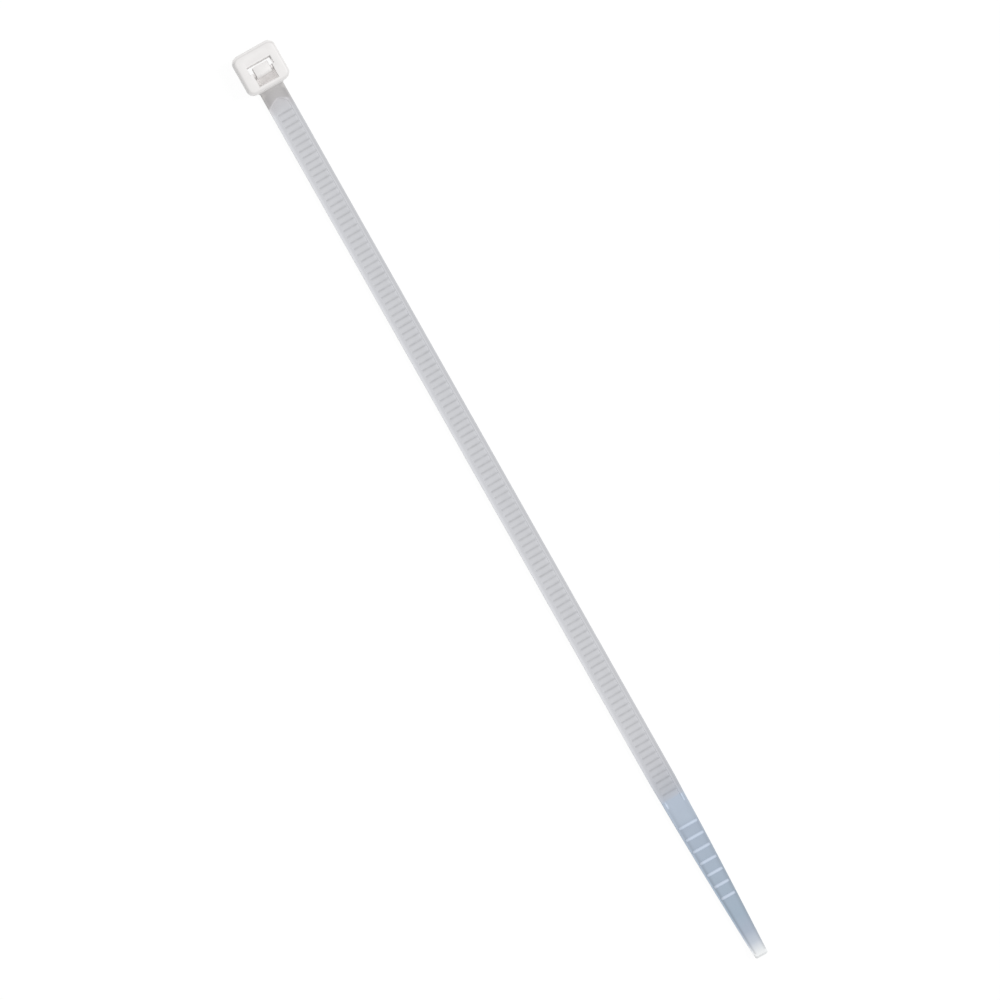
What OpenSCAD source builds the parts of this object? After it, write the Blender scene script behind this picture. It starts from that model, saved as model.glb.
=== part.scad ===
// Self-locking cable tie, moulded in one piece from natural nylon, lying flat and open.
// X runs along the strap to the tail tip, and +Z is the face where the strap leaves the head.
// The origin is the centre of the strap slot, on the flat underside.
// The strap is fed up through the slot, where its teeth click past the pawl.

/* [Strap] */
// Length of the whole tie, from the head's far face to the tip
overall_l = 189.7; // [120:0.1:300]
// Width of the strap
strap_w = 4.8; // [4.4:0.1:5.4]
// Thickness of the strap over its side rails
strap_t = 1.3; // [1.2:0.05:1.5]
// Radius along the strap's long edges
strap_edge_r = 0.25; // [0.1:0.05:0.4]
// Radius where the strap runs into the head
neck_r = 0.4; // [0.2:0.05:0.45]

/* [Teeth] */
// Spacing of the teeth along the strap
tooth_pitch = 1.27; // [1.1:0.01:1.6]
// Depth of the valleys between the teeth, from the rails' underside
valley_depth = 0.45; // [0.3:0.05:0.55]
// How far the tooth crests sit inside the rails
crest_inset = 0.06; // [0.02:0.01:0.12]
// Flat land on each tooth crest
crest_land = 0.2; // [0.1:0.05:0.4]
// Distance from the head to the first tooth
first_tooth_gap = 5.14; // [4:0.1:8]

/* [Outer face] */
// Depth of the shallow track in the outer face
face_depth = 0.1; // [0.05:0.01:0.15]
// Width of the shallow track
face_w = 3.1; // [2.6:0.1:3.3]
// Distance from the head to the point of the track
face_gap = 2.29; // [1.5:0.1:3.2]
// Length of the track's pointed start
face_point_l = 1.32; // [0.8:0.1:1.8]
// Length of the cross groove over each tooth
groove_l = 2.85; // [2:0.05:2.9]
// Width of the cross groove
groove_w = 0.45; // [0.3:0.05:0.7]
// Depth of the cross groove
groove_depth = 0.07; // [0.03:0.01:0.12]

/* [Tail] */
// Shortest length of the smooth tail, from the last tooth to the tip
tail_l = 33.2; // [28:0.1:45]
// Width of the tail at its root
tail_w = 4.62; // [4.2:0.01:4.7]
// Width of the tail at its tip
tip_w = 2.5; // [2:0.1:3.4]
// Length over which the strap narrows to the tail's root
shoulder_l = 3.5; // [1:0.1:6]
// How late the taper sets in, where 1 is a straight taper
taper_power = 1.35; // [1:0.05:1.8]
// Thickness of the tail
tail_t = 1; // [0.8:0.05:1.1]
// Length over which the rails run out into the tail
runout_l = 1.4; // [0.8:0.1:2.5]
// Inner radius of the upturned tip
tip_bend_r = 10; // [7:0.5:16]
// Length of the upturned tip, measured along X
tip_bend_l = 4.8; // [2:0.1:6]
// Length of the corner rounding at the tip
tip_corner = 0.35; // [0.1:0.05:0.8]

/* [Grip ridges] */
// Number of grip ridges across the tail
ridge_count = 7; // [3:1:8]
// Spacing of the grip ridges
ridge_pitch = 2.48; // [1.8:0.02:2.6]
// Distance from the last tooth to the first ridge
ridge_gap = 5.66; // [3:0.1:7]
// Width of a ridge along the tail
ridge_w = 0.68; // [0.5:0.02:0.9]
// Height of a ridge
ridge_h = 0.2; // [0.1:0.02:0.3]
// Bare margin beside each ridge's ends
ridge_margin = 0.3; // [0.15:0.05:0.5]

/* [Head] */
// Height of the head
head_h = 5.6; // [5.2:0.1:6.6]
// Wall on the far side of the slot, which the strap is pressed against
far_wall = 2.73; // [2:0.05:3.2]
// Wall between the window and the strap
near_wall = 0.93; // [0.7:0.05:1.4]
// Walls beside the slot
side_wall = 1.8; // [1.5:0.05:2.4]
// Radius of the head's upright corners
head_corner_r = 1.35; // [1:0.05:1.6]
// Radius round the head's exit face
head_top_r = 0.6; // [0.3:0.05:0.8]
// Radius round the head's underside
head_base_r = 0.3; // [0.15:0.05:0.4]

/* [Window] */
// Length of the window in the exit face, slot and pocket together
window_l = 4.19; // [4:0.05:4.8]
// Length of the window's wide part, which the strap passes
well_l = 2.53; // [2:0.05:3]
// Width of the pocket behind the pawl
pocket_w = 4; // [3.6:0.1:4.3]
// Thickness of the floor that the pawl grows out of
floor_t = 1.2; // [0.9:0.05:1.5]
// Clearance of the slot over the strap's thickness
slot_clear_t = 0.2; // [0.1:0.05:0.35]
// Clearance of the slot at each edge of the strap
slot_clear_w = 0.05; // [0.03:0.01:0.15]
// Radius of the slot's mouth, where the strap bends round the far wall
mouth_r = 0.6; // [0.3:0.05:0.9]
// Bevel of the slot's mouth on the pawl side
mouth_bevel = 0.3; // [0.15:0.05:0.4]

/* [Pawl] */
// Width of the pawl
pawl_w = 3.1; // [2.6:0.1:3.2]
// Clearance of the pawl in the strap's track, each side
pawl_clear = 0.1; // [0.05:0.01:0.15]
// Number of teeth on the pawl
pawl_teeth = 3; // [2:1:3]
// Gap between the pawl's tip and the far wall with no strap in the slot
pawl_gap = 0.48; // [0.35:0.01:0.7]
// Depth of the pawl's tip below the exit face
pawl_drop = 0.6; // [0.4:0.05:0.8]
// Length of the pawl's top, from the tip to its back
pawl_top_l = 2.35; // [2:0.05:2.5]
// Bite of each pawl tooth
pawl_bite = 0.36; // [0.25:0.01:0.4]
// Angle that the pawl swings back as it locks
pawl_swing = 5.5; // [3:0.5:8]
// Thickness of the hinge at the pawl's foot
hinge_t = 0.85; // [0.6:0.05:1]
// Ledge between the slot and the hinge
hinge_ledge = 0.4; // [0.2:0.05:0.5]

/* [Hidden] */
$fn = 64;

// Overshoot of a cut past the face that it opens
over = 1;
// Depth that one form runs into the next where they are joined
root = 0.4;

head_colour = "#EFEDEA";
strap_colour = "#C9C9CC";
tail_colour = "#B4C1D3";

// The slot, the window and the head along X
slot_t = strap_t + slot_clear_t;
slot_w = strap_w + 2 * slot_clear_w;
slot_far = -slot_t / 2;
slot_near = slot_t / 2;
window_near = slot_far + window_l;
head_far = slot_far - far_wall;
head_near = window_near + near_wall;
head_l = head_near - head_far;
head_w = slot_w + 2 * side_wall;
head_mid = (head_far + head_near) / 2;

// Places along the strap, which starts inside the head's near wall
strap_root = head_near - near_wall / 2;
tip_x = head_far + overall_l;
teeth_start = head_near + first_tooth_gap;
tooth_count = floor((tip_x - tail_l - teeth_start) / tooth_pitch);
teeth_end = teeth_start + tooth_count * tooth_pitch;
track_w = pawl_w + 2 * pawl_clear;
face_start = head_near + face_gap;
face_z = strap_t - face_depth;

// The tail, whose outer face carries on from the floor of the track
tail_top = face_z;
tail_base = tail_top - tail_t;
tail_start = teeth_end + runout_l;
bend_start = tip_x - tip_bend_l;
taper_steps = 16;

// Round of a ridge, from its chord and its height
ridge_r = (pow(ridge_w / 2, 2) + pow(ridge_h, 2)) / (2 * ridge_h);

// The pawl at rest, leaning out of its locked place by the swing
pawl_tip = [slot_far + pawl_gap, head_h - pawl_drop];
pawl_inward = [cos(pawl_swing), sin(pawl_swing)];
pawl_down = [sin(pawl_swing), -cos(pawl_swing)];
hinge_front = [slot_near + hinge_ledge, floor_t];
hinge_back = hinge_front + [hinge_t, 0];

// Shares of the pawl's top and of its back that the round between them takes
top_share = 0.45;
back_share = 0.4;

// Place of tooth n on the strap
function tooth_x(n) = teeth_start + n * tooth_pitch;

// Half the tail's width at x
function tail_half(x) =
    (tail_w - (tail_w - tip_w) * pow((x - teeth_end) / (tip_x - teeth_end), taper_power)) / 2;

// Points of a smooth corner from a to b, rounding off the corner c
function corner(a, c, b, steps = 6) =
    [for (i = [0 : steps]) let (t = i / steps) pow(1 - t, 2) * a + 2 * t * (1 - t) * c + t * t * b];

// The same points on the other side of the X axis, in the opposite order
function mirrored(points) =
    [for (i = [len(points) - 1 : -1 : 0]) [points[i][0], -points[i][1]]];

// Stands an outline drawn in X and Z upright, as a wall of width w centred on the X axis
module upright(w) {
    rotate([90, 0, 0])
        linear_extrude(w, center = true)
            children();
}

// The rim's section, from a corner's axis outwards: rounded at the outer top and bottom
module rim_outline() {
    intersection() {
        square([head_corner_r, head_h]);
        union() {
            square([head_corner_r - head_top_r, head_h]);
            translate([0, head_base_r])
                square([head_corner_r, head_h - head_base_r - head_top_r]);
            square([head_corner_r - head_base_r, head_h / 2]);
            translate([head_corner_r - head_top_r, head_h - head_top_r])
                circle(head_top_r);
            translate([head_corner_r - head_base_r, head_base_r])
                circle(head_base_r);
        }
    }
}

// The head before its window is cut, with the rim swept round all four sides
module head_block() {
    core_l = head_l - 2 * head_corner_r;
    core_w = head_w - 2 * head_corner_r;
    translate([head_mid, 0, 0]) {
        translate([-core_l / 2, -core_w / 2, 0])
            cube([core_l, core_w, head_h]);
        for (side = [0, 1])
            mirror([side, 0, 0])
                translate([core_l / 2, 0, 0])
                    upright(core_w)
                        rim_outline();
        for (side = [-90, 90])
            rotate([0, 0, side])
                translate([core_w / 2, 0, 0])
                    upright(core_l)
                        rim_outline();
        for (x_side = [0, 1], y_side = [0, 1])
            mirror([x_side, 0, 0])
                mirror([0, y_side, 0])
                    translate([core_l / 2, core_w / 2, 0])
                        rotate_extrude(angle = 90)
                            rim_outline();
    }
}

// The window: a slot right through, widened above the floor into a well and a pocket
module window() {
    translate([slot_far, -slot_w / 2, -over])
        cube([slot_t, slot_w, head_h + 2 * over]);
    translate([slot_far, -slot_w / 2, floor_t])
        cube([well_l, slot_w, head_h]);
    translate([slot_far, -pocket_w / 2, floor_t])
        cube([window_l, pocket_w, head_h]);
    upright(slot_w)
        polygon([
            [slot_near + mouth_bevel + over, -over],
            [slot_near, mouth_bevel],
            [slot_far, mouth_bevel],
            [slot_far, -over]
        ]);
    upright(slot_w)
        difference() {
            translate([slot_far - mouth_r, -over])
                square([mouth_r + over / 2, mouth_r + over]);
            translate([slot_far - mouth_r, mouth_r])
                circle(mouth_r);
        }
}

// The pawl: a toothed tongue on a thin hinge, free to swing back into the pocket
module pawl() {
    back_top = pawl_tip + pawl_top_l * pawl_inward;
    round_start = back_top - top_share * pawl_top_l * pawl_inward;
    round_end = back_top + back_share * (hinge_back - back_top);
    // Each tooth is a tip and, below the top one, the step back in under the tooth above
    teeth = [for (k = [pawl_teeth - 1 : -1 : 0], step = k > 0 ? [0, 1] : [0])
        pawl_tip + k * tooth_pitch * pawl_down + step * pawl_bite * pawl_inward];
    color(head_colour)
        upright(pawl_w)
            polygon(concat(
                [hinge_front - [0, root]],
                [hinge_front],
                teeth,
                corner(round_start, back_top, round_end),
                [hinge_back],
                [hinge_back - [0, root]]
            ));
}

// The head with its window, which the pawl stands in
module head() {
    color(head_colour)
        difference() {
            head_block();
            window();
        }
}

// A fillet's section in the corner of the two axes
module fillet_outline(r) {
    difference() {
        square(r);
        translate([r, r])
            circle(r);
    }
}

// Fillets where the strap leaves the head, one at each edge and one over the outer face
module neck_fillets() {
    lowest = max(strap_edge_r, head_base_r);
    color(head_colour) {
        for (side = [0, 1])
            mirror([0, side, 0])
                translate([head_near, strap_w / 2, lowest])
                    linear_extrude(strap_t - strap_edge_r - lowest)
                        fillet_outline(neck_r);
        translate([head_near, 0, strap_t])
            upright(strap_w - 2 * strap_edge_r)
                fillet_outline(neck_r);
    }
}

// The strap's cross-section, drawn in Y and Z
module strap_section() {
    flat_w = strap_w - 2 * strap_edge_r;
    flat_t = strap_t - 2 * strap_edge_r;
    translate([-flat_w / 2, 0])
        square([flat_w, strap_t]);
    translate([-strap_w / 2, strap_edge_r])
        square([strap_w, flat_t]);
    for (y = [-flat_w / 2, flat_w / 2], z = [strap_edge_r, strap_t - strap_edge_r])
        translate([y, z])
            circle(strap_edge_r);
}

// Cuts the teeth: steep faces look to the head, and long slopes look to the tail
module tooth_cut() {
    valleys = [for (n = [0 : tooth_count - 1]) each [
        [tooth_x(n), valley_depth],
        [tooth_x(n), crest_inset],
        [tooth_x(n) + crest_land, crest_inset]
    ]];
    upright(track_w)
        polygon(concat(
            [[face_start, -over], [face_start, 0]],
            valleys,
            [[teeth_end, valley_depth], [teeth_end, -over]]
        ));
}

// Cuts the shallow track into the outer face, from its pointed start to the tail
module face_cut() {
    track_half = face_w / 2;
    translate([0, 0, face_z])
        linear_extrude(face_depth + over)
            polygon([
                [face_start, 0],
                [face_start + face_point_l, -track_half],
                [tail_start, -track_half],
                [tail_start, track_half],
                [face_start + face_point_l, track_half]
            ]);
}

// Cuts a shallow groove into the track's floor over each tooth
module groove_cut() {
    groove_top = face_z + face_depth / 2;
    grooves = [for (n = [0 : tooth_count - 1]) each [
        [tooth_x(n) - groove_w / 2, face_z],
        [tooth_x(n), face_z - groove_depth],
        [tooth_x(n) + groove_w / 2, face_z]
    ]];
    upright(groove_l)
        polygon(concat(
            [[teeth_start - groove_w / 2, groove_top]],
            grooves,
            [[teeth_end - groove_w / 2, groove_top]]
        ));
}

// The band's outline seen from above: straight, then a shoulder, then the tail's curved taper
module band_outline() {
    taper = [for (i = [0 : taper_steps - 1])
        let (x = teeth_end + (tip_x - teeth_end) * i / taper_steps) [x, tail_half(x)]];
    tip_corners = corner(
        [tip_x - tip_corner, tail_half(tip_x - tip_corner)],
        [tip_x, tip_w / 2],
        [tip_x, tip_w / 2 - tip_corner]
    );
    side = concat(
        [[strap_root, strap_w / 2], [teeth_end - shoulder_l, strap_w / 2]],
        taper,
        tip_corners
    );
    polygon(concat(side, mirrored(side)));
}

// The band's outline seen from the side: full thickness, a run-out to the thin tail, the bent tip
module band_profile() {
    polygon([
        [strap_root, 0],
        [teeth_end, 0],
        [tail_start, tail_base],
        [bend_start, tail_base],
        [bend_start, tail_top],
        [tail_start, tail_top],
        [teeth_end, strap_t],
        [strap_root, strap_t]
    ]);
    intersection() {
        translate([bend_start, tail_top + tip_bend_r])
            difference() {
                circle(tip_bend_r + tail_t);
                circle(tip_bend_r);
            }
        translate([bend_start, 0])
            square([tip_bend_l + over, tip_bend_r]);
    }
}

// The band as its two outlines give it, with square edges
module plain_band() {
    intersection() {
        linear_extrude(tip_bend_r)
            band_outline();
        upright(strap_w)
            band_profile();
    }
}

// The strap, from inside the head's near wall to the end of the run-out, with rounded edges
module strap() {
    color(strap_colour)
        difference() {
            intersection() {
                plain_band();
                translate([strap_root, 0, 0])
                    rotate([90, 0, 90])
                        linear_extrude(tail_start - strap_root)
                            strap_section();
            }
            tooth_cut();
            face_cut();
            groove_cut();
        }
}

// Half-round bars across the tail, each as long as the tail is wide there less its margins
module grip_ridges() {
    for (i = [0 : ridge_count - 1]) {
        x = teeth_end + ridge_gap + i * ridge_pitch;
        translate([x, 0, tail_top + ridge_h - ridge_r])
            rotate([90, 0, 0])
                cylinder(h = 2 * (tail_half(x) - ridge_margin), r = ridge_r, center = true);
    }
}

// The smooth tail, from the middle of the run-out to the upturned tip, with its ridges
module tail() {
    tail_root = (teeth_end + tail_start) / 2;
    color(tail_colour) {
        difference() {
            intersection() {
                plain_band();
                translate([tail_root, -strap_w / 2, 0])
                    cube([tip_x + over - tail_root, strap_w, tip_bend_r]);
            }
            face_cut();
        }
        grip_ridges();
    }
}

module cable_tie() {
    union() {
        head();
        pawl();
        neck_fillets();
        strap();
        tail();
    }
}

cable_tie();
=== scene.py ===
import math

import bmesh
import bpy
from mathutils import Matrix, Vector


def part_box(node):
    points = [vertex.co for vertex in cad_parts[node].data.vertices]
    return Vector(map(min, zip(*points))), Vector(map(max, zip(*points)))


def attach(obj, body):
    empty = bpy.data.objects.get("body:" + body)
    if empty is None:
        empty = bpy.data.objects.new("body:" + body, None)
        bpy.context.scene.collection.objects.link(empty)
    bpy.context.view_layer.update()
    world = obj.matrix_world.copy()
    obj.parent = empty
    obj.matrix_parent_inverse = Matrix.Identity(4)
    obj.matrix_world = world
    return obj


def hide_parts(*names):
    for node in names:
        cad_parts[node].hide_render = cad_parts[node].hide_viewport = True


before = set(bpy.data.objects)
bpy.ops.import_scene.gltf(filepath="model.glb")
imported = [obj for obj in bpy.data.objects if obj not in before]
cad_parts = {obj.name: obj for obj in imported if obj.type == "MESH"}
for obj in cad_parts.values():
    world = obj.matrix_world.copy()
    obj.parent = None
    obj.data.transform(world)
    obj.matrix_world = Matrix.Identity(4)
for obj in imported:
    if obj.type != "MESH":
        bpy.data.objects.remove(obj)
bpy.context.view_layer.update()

# The tie is modelled in millimetres on the frame's axes: X runs from the head to the tip, and
# Z goes up out of the head's exit face. The finished mesh is brought to metres at the end.

millimetre = 0.001             # in metres, which the frame is in
samePlace = 0.0001             # mm, points closer than this are one
tieLow, tieHigh = (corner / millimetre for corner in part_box("cable_tie"))


def newPiece(name, bm):
    mesh = bpy.data.meshes.new(name)
    bm.to_mesh(mesh)
    bm.free()
    piece = bpy.data.objects.new(name, mesh)
    bpy.context.scene.collection.objects.link(piece)
    return piece


def joinOnto(piece, other):
    join = piece.modifiers.new("join", "BOOLEAN")
    join.operation = "UNION"
    join.solver = "EXACT"
    join.object = other
    bpy.context.view_layer.update()
    shaped = piece.evaluated_get(bpy.context.evaluated_depsgraph_get())
    joined = bpy.data.meshes.new_from_object(shaped)
    piece.modifiers.clear()
    piece.data = joined
    bpy.data.objects.remove(other)


def softenEdges(bm, edges, size, segments):
    bmesh.ops.bevel(bm, geom=edges, offset=size, segments=segments, profile=0.5, affect="EDGES",
                    material=-1, clamp_overlap=True)


def allAt(verts, axis, value):
    return all(abs(v.co[axis] - value) < samePlace for v in verts)


def inOrder(found):
    # Each once, in the order they are met
    return list(dict.fromkeys(found))


def pullEdges(bm, edges, shift):
    # Extrudes open edges and moves the new ones, which it gives back with their points
    pulled = bmesh.ops.extrude_edge_only(bm, edges=edges)["geom"]
    verts = [v for v in pulled if isinstance(v, bmesh.types.BMVert)]
    fresh = set(verts)
    bmesh.ops.translate(bm, verts=verts, vec=shift)
    return [e for e in pulled if isinstance(e, bmesh.types.BMEdge) and fresh.issuperset(e.verts)], verts


def splitFlat(bm, z, xs, ys):
    # Rules lines across the flat face at that height, along X and along Y
    for axis, places in enumerate((xs, ys)):
        for place in places:
            faces = [f for f in bm.faces if allAt(f.verts, 2, z)]
            edges = inOrder(e for f in faces for e in f.edges)
            verts = inOrder(v for f in faces for v in f.verts)
            across = (place, 0, 0) if axis == 0 else (0, place, 0)
            normal = (1, 0, 0) if axis == 0 else (0, 1, 0)
            bmesh.ops.bisect_plane(bm, geom=verts + edges + faces, dist=samePlace / 10, plane_co=across,
                                   plane_no=normal)


def flatFaces(bm, z, far, near, half):
    found = []
    for face in bm.faces:
        centre = face.calc_center_median()
        if allAt(face.verts, 2, z) and far < centre.x < near and abs(centre.y) < half:
            found.append(face)
    return found


# Head: a rounded block, its window sunk and opened face by face

head = {
    "nearWall": 0.93,          # wall between the window and the strap
    "cornerRadius": 1.35,      # upright corners, seen from above
    "cornerSegments": 8,
    "topRadius": 0.6,          # round the exit face
    "topSegments": 5,
    "baseRadius": 0.3,         # round the underside
    "baseSegments": 4,
    "lipRadius": 0.12,         # worn-tool softness of the window's edge
    "lipSegments": 2,
}
window = {
    "slotLength": 1.5,         # strap thickness and its clearance
    "slotWidth": 4.9,
    "draft": 0.2,              # the far wall comes in by this much from the exit face to the floor
    "length": 4.19,            # slot and pocket together
    "pocketWidth": 4.0,
    "floor": 1.2,
    "mouthRadius": 0.6,        # entry, on the side where the strap bends round
    "mouthBevel": 0.3,         # entry, on the pawl's side
    "mouthSteps": 6,
}

# Places that follow from the sizes
slotFar = -window["slotLength"] / 2
slotNear = window["slotLength"] / 2
slotHalf = window["slotWidth"] / 2
windowNear = slotFar + window["length"]
headFar = tieLow.x
headNear = windowNear + head["nearWall"]
headHalf = tieHigh.y
headTop = tieHigh.z


def buildHead():
    bm = bmesh.new()
    bmesh.ops.create_cube(bm, size=1)
    bmesh.ops.scale(bm, vec=(headNear - headFar, 2 * headHalf, headTop), verts=bm.verts)
    bmesh.ops.translate(bm, vec=((headNear + headFar) / 2, 0, headTop / 2), verts=bm.verts)
    upright = [e for e in bm.edges if abs(e.verts[0].co.z - e.verts[1].co.z) > headTop / 2]
    softenEdges(bm, upright, head["cornerRadius"], head["cornerSegments"])
    top = [e for e in bm.edges if allAt(e.verts, 2, headTop)]
    softenEdges(bm, top, head["topRadius"], head["topSegments"])
    base = [e for e in bm.edges if allAt(e.verts, 2, 0)]
    softenEdges(bm, base, head["baseRadius"], head["baseSegments"])

    # The slot and the narrower pocket behind it go down to the floor
    pocketHalf = window["pocketWidth"] / 2
    across = (-slotHalf, -pocketHalf, pocketHalf, slotHalf)
    splitFlat(bm, headTop, (slotFar, slotNear, windowNear), across)
    lid = flatFaces(bm, headTop, slotFar, slotNear, slotHalf)
    lid += flatFaces(bm, headTop, slotNear, windowNear, pocketHalf)
    sunk = bmesh.ops.extrude_face_region(bm, geom=lid)["geom"]
    floorVerts = [v for v in sunk if isinstance(v, bmesh.types.BMVert)]
    bmesh.ops.translate(bm, verts=floorVerts, vec=(0, 0, window["floor"] - headTop))
    farVerts = [v for v in floorVerts if abs(v.co.x - slotFar) < samePlace]
    bmesh.ops.translate(bm, verts=farVerts, vec=(window["draft"], 0, 0))
    bmesh.ops.delete(bm, geom=lid, context="FACES")

    # The slot goes on through the floor. Its entry is round where the strap bends over it,
    # and bevelled by the pawl, so its wall is pulled down in steps that spread it
    roundness = window["mouthRadius"]
    bevel = window["mouthBevel"]
    splitFlat(bm, 0, (slotFar - roundness, slotNear + bevel), across)
    opened = flatFaces(bm, window["floor"], slotFar, slotNear, slotHalf)
    opened += flatFaces(bm, 0, slotFar - roundness, slotNear + bevel, slotHalf)
    bmesh.ops.delete(bm, geom=opened, context="FACES")
    wall = [e for e in bm.edges if e.is_boundary and allAt(e.verts, 2, window["floor"])]
    z, far, near = window["floor"], slotFar + window["draft"], slotNear
    for k in range(window["mouthSteps"] + 1):
        turn = math.radians(90) * k / window["mouthSteps"]
        toZ = roundness * (1 - math.sin(turn))
        toFar = slotFar + window["draft"] - (roundness + window["draft"]) * (1 - math.cos(turn))
        toNear = slotNear + max(0, bevel - toZ)
        wall, verts = pullEdges(bm, wall, (0, 0, toZ - z))
        farVerts = [v for v in verts if v.co.x < 0]
        nearVerts = [v for v in verts if v.co.x > 0]
        bmesh.ops.translate(bm, verts=farVerts, vec=(toFar - far, 0, 0))
        bmesh.ops.translate(bm, verts=nearVerts, vec=(toNear - near, 0, 0))
        z, far, near = toZ, toFar, toNear
    bmesh.ops.remove_doubles(bm, verts=bm.verts, dist=samePlace)

    # The window's lip: edges of the exit face with an upright wall on one side
    def isLip(edge):
        if not allAt(edge.verts, 2, headTop) or len(edge.link_faces) != 2:
            return False
        return any(abs(f.normal.z) < 0.1 for f in edge.link_faces)

    bm.normal_update()
    softenEdges(bm, [e for e in bm.edges if isLip(e)], head["lipRadius"], head["lipSegments"])
    bmesh.ops.recalc_face_normals(bm, faces=bm.faces)
    return newPiece("head", bm)


# Band: half a section is drawn from the middle of the underside round to the middle of the outer
# face and mirrored. Each row of points has a number, so that a pull can move it by itself.

strap = {
    "width": 4.8,
    "thickness": 1.3,
    "edgeRadius": 0.25,
    "edgeSegments": 4,
    "neckRadius": 0.4,         # fillet where it leaves the head
    "neckSteps": 6,
    "bury": 0.01,              # the fillet starts this far inside the head
}
teeth = {
    "pitch": 1.27,
    "firstGap": 5.14,          # from the head to the first tooth
    "crest": 0.06,             # crests sit this far inside the rails
    "valley": 0.43,
    "valleyLength": 0.06,
    "ease": 0.03,              # rounding and lean of the steep face
    "slopeEnd": 0.368,         # height that the slope has reached where a groove begins
    "trackWidth": 3.26,
    "wallDraft": 0.04,
}
track = {
    "depth": 0.1,              # shallow track in the outer face
    "width": 3.1,
    "gap": 2.29,               # from the head to its point
    "point": 1.32,             # length of the pointed start
    "pointSteps": 7,
    "pointCurve": 0.75,
    "pointShare": 0.03,        # share of the track's width at the very point
    "rampLength": 0.05,        # over which its floor comes up there
    "grooveLength": 2.85,
    "grooveWidth": 0.45,
    "grooveDepth": 0.07,
    "soft": 0.07,
}
tail = {
    "length": 33.2,
    "rootWidth": 4.62,
    "tipWidth": 2.5,
    "thickness": 1.0,
    "shoulder": 3.5,
    "taperPower": 1.35,
    "runOut": 1.4,             # the rails sink into the tail over this length
    "runOutSteps": 4,
    "bendRadius": 10.0,
    "bendLength": 4.8,
    "corner": 0.35,
    "steps": 12,
    "bendSteps": 10,
}
# The tip's last pulls: share of the corner's length, share of the thickness that is taken off
tipRounding = [(0.5, 0), (0.3, 0.03), (0.2, 0.12)]

# Places that follow from the sizes
tipX = tieHigh.x
teethStart = headNear + teeth["firstGap"]
toothCount = math.floor((tipX - tail["length"] - teethStart) / teeth["pitch"])
teethEnd = teethStart + toothCount * teeth["pitch"]
trackStart = headNear + track["gap"]
trackFloor = strap["thickness"] - track["depth"]
tailTop = trackFloor
tailBase = tailTop - tail["thickness"]
bendStart = tipX - tail["bendLength"]
bendOuter = tail["bendRadius"] + tail["thickness"]
flatTip = bendStart + bendOuter * math.asin(tail["bendLength"] / bendOuter)

rowTooth, rowUnder, rowTop, rowLip, rowTrack, rowGroove = range(1, 7)
outerRows = (rowTop, rowLip, rowTrack, rowGroove)
trackRows = (rowLip, rowTrack, rowGroove)


def tailHalf(x):
    share = (x - teethEnd) / (tipX - teethEnd)
    narrowing = (tail["rootWidth"] - tail["tipWidth"]) * share ** tail["taperPower"]
    return (tail["rootWidth"] - narrowing) / 2


def arcPoints(centre, start, radius, segments):
    turns = [start + math.radians(90) * k / segments for k in range(segments + 1)]
    return [(centre[0] + radius * math.cos(a), centre[1] + radius * math.sin(a)) for a in turns]


def sectionPoints():
    radius = strap["edgeRadius"]
    flat = strap["width"] / 2 - radius
    low = arcPoints((flat, radius), math.radians(-90), radius, strap["edgeSegments"])
    high = arcPoints((flat, strap["thickness"] - radius), 0, radius, strap["edgeSegments"])
    toothHalf = teeth["trackWidth"] / 2
    trackHalf = track["width"] / 2
    grooveHalf = track["grooveLength"] / 2
    soft = track["soft"] / 2
    points = [(0, 0, rowTooth), (toothHalf, 0, rowTooth), (toothHalf + teeth["wallDraft"], 0, rowUnder)]
    points += [(y, z, rowUnder) for y, z in low]
    points += [(y, z, rowTop) for y, z in high]
    points += [(trackHalf + soft, strap["thickness"], rowLip), (trackHalf - soft, trackFloor, rowTrack)]
    points += [(grooveHalf + soft, trackFloor, rowTrack), (grooveHalf - soft, trackFloor, rowGroove)]
    points += [(0, trackFloor, rowGroove)]
    return points


def rowVerts(bm, verts, rows):
    rowLayer = bm.verts.layers.int["row"]
    return [v for v in verts if v[rowLayer] in rows]


def pullRing(bm, ring, shift, rises=()):
    # Pulls the section along X, then lifts rows of it: rises holds (rows, height) pairs
    ring, verts = pullEdges(bm, ring, (shift, 0, 0))
    for rows, height in rises:
        bmesh.ops.translate(bm, verts=rowVerts(bm, verts, rows), vec=(0, 0, height))
    return ring


def ringVerts(ring):
    return inOrder(v for e in ring for v in e.verts)


def openRing(bm, x):
    return [e for e in bm.edges if e.is_boundary and allAt(e.verts, 0, x)]


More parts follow.
